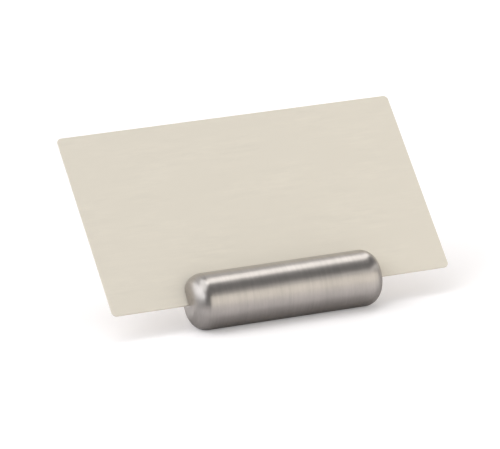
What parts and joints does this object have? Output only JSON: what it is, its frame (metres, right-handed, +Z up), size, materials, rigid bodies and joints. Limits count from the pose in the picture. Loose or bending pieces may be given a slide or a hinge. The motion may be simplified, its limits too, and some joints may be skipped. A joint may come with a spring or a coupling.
{
  "type": "place card holder",
  "caption": "Round brushed steel bar with rounded ends, lying on its side; one thin slot along its length holds a plain card that leans back and lifts out.",
  "frame": {"origin": "centre of the foot strip's underside, on the table under the middle of the bar", "axes": "+X along the bar, +Y away from the reader, the way the card leans, +Z up"},
  "size_m": [0.089, 0.0429, 0.0425],
  "materials": {
    "steel": "satin",
    "strip": "matte",
    "card": "matte"
  },
  "bodies": {
    "holder": {"holder_bar": "steel", "foot_strip": "strip"},
    "card": {"place_card": "card"}
  },
  "joints": [
    {"name": "card_lift", "type": "slide", "parent": "holder", "child": "card", "axis": [0, 0.7071, 0.7071], "range_m": [0, 0.01]}
  ]
}
